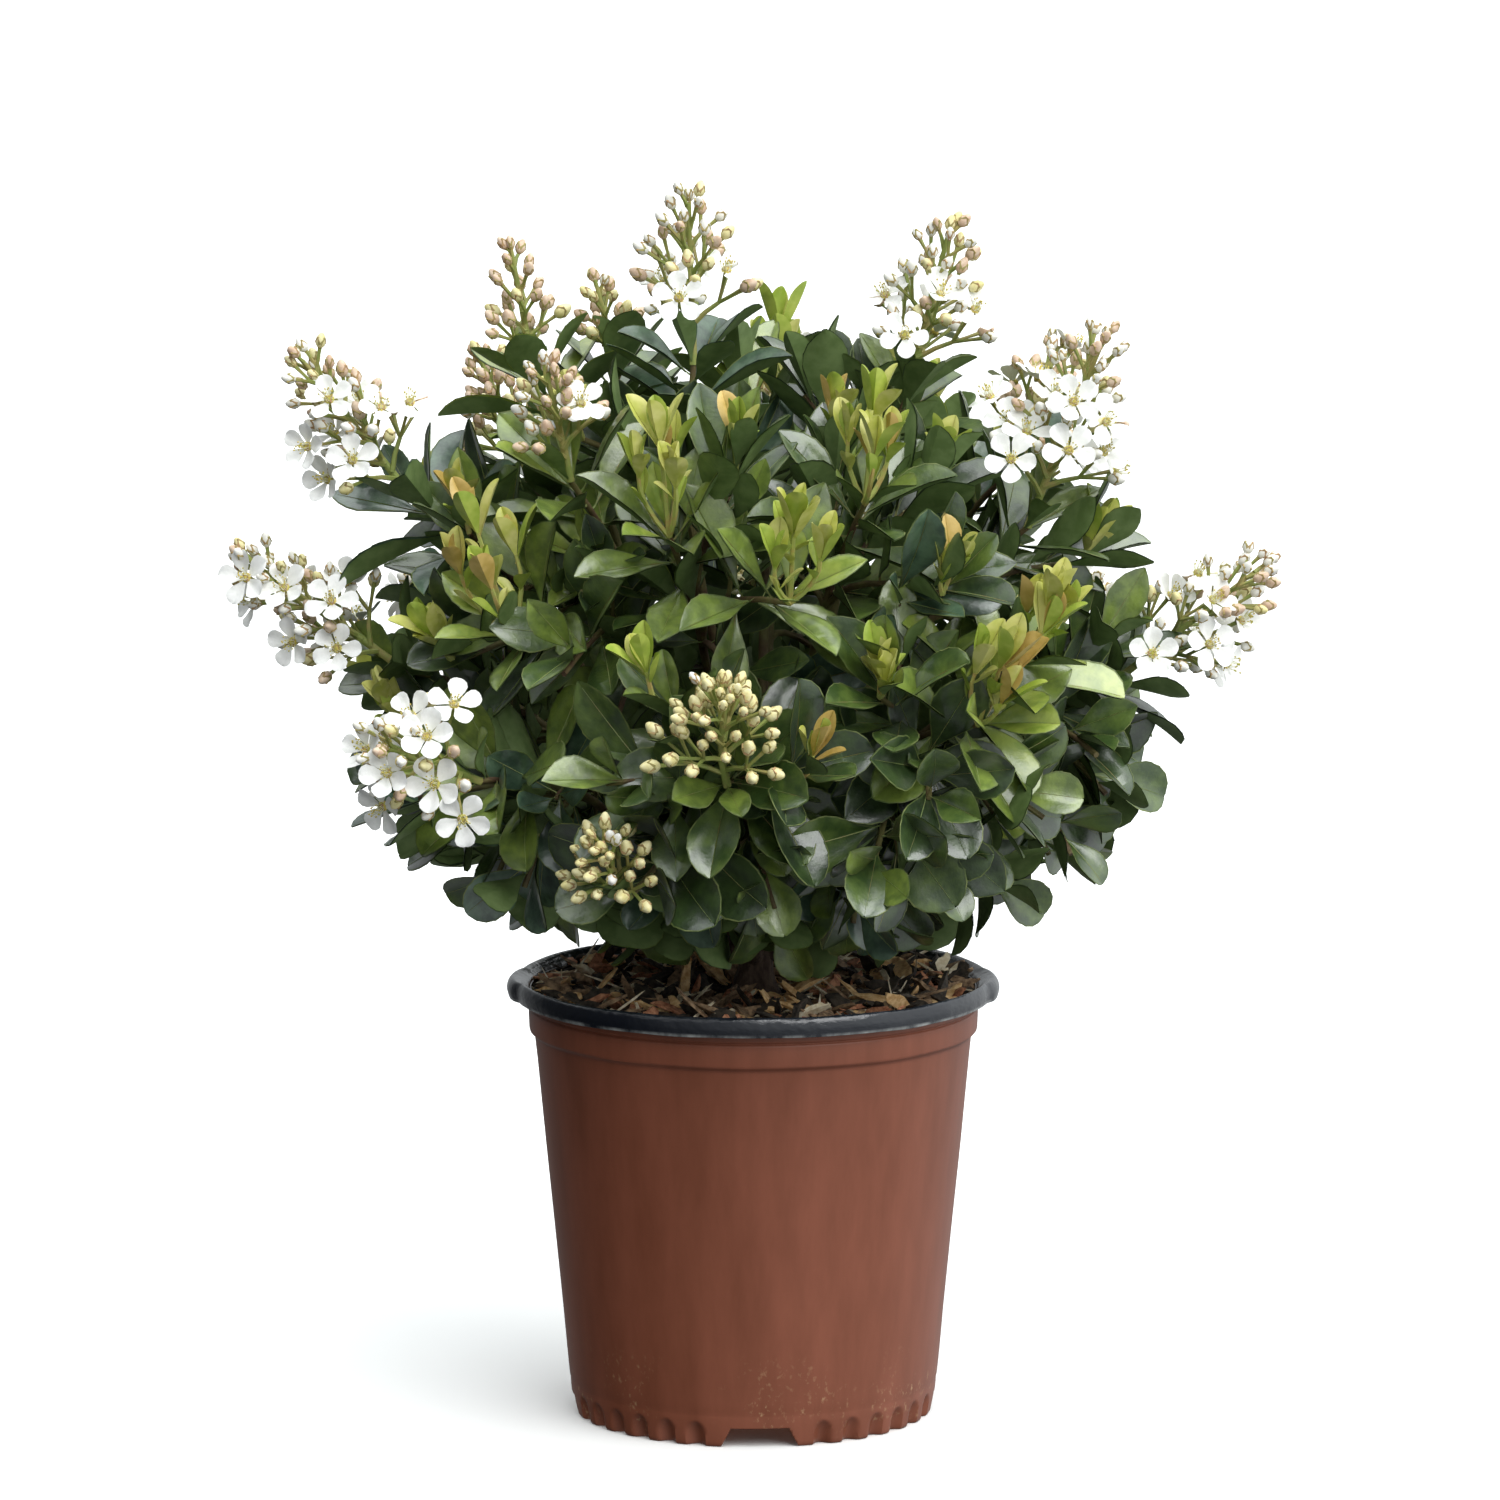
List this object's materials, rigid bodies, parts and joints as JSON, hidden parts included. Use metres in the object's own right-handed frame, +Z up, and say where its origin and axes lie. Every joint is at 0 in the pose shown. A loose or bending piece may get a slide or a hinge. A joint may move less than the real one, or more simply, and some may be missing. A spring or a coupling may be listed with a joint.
{
  "type": "potted flowering shrub",
  "caption": "Rounded evergreen shrub with rosettes of leathery leaves and upright clusters of white flowers and buds, in a tapered round nursery pot filled with bark.",
  "frame": {"origin": "middle of the pot, on the level that its foot stands on", "axes": "+Z up, along the pot's axis and the plant's height; -Y towards the front, the side with the two clusters of buds low down"},
  "size_m": [0.4945, 0.4522, 0.585],
  "materials": {
    "pot_plastic": "satin terracotta brown blown plastic",
    "pot_rim": "blue-black lip and inside of the same pot",
    "mulch": "shredded bark and dark potting mix",
    "bark": "grey-brown shrub bark",
    "leaf": "glossy leathery dark green",
    "young_leaf": "lime green with bronze tips",
    "petal": "white petals",
    "flower_bud": "cream buds on olive stalks"
  },
  "bodies": {
    "root": {"pot": "pot_plastic", "growing_medium": "mulch", "main_stem": "bark", "bough_low_left": "bark", "bough_low_front_left": "bark", "bough_low_front": "bark", "bough_low_front_right": "bark", "bough_low_right": "bark", "bough_low_back_right": "bark", "bough_low_back": "bark", "bough_low_back_left": "bark", "bough_mid_left": "bark", "bough_mid_front_left": "bark", "bough_mid_front": "bark", "bough_mid_front_right": "bark", "bough_mid_right": "bark", "bough_mid_back_right": "bark", "bough_mid_back": "bark", "bough_mid_back_left": "bark", "bough_top_left": "bark", "bough_top": "bark", "bough_top_right": "bark", "bough_top_back": "bark", "foliage_low_left": "leaf", "foliage_low_front_left": "leaf", "foliage_low_front": "leaf", "foliage_low_front_right": "leaf", "foliage_low_right": "leaf", "foliage_low_back_right": "leaf", "foliage_low_back": "leaf", "foliage_low_back_left": "leaf", "foliage_mid_left": "leaf", "foliage_mid_front_left": "leaf", "foliage_mid_front": "leaf", "foliage_mid_front_right": "leaf", "foliage_mid_right": "leaf", "foliage_mid_back_right": "leaf", "foliage_mid_back": "leaf", "foliage_mid_back_left": "leaf", "foliage_top_left": "leaf", "foliage_top": "leaf", "foliage_top_right": "leaf", "foliage_top_back": "leaf"}
  },
  "joints": []
}
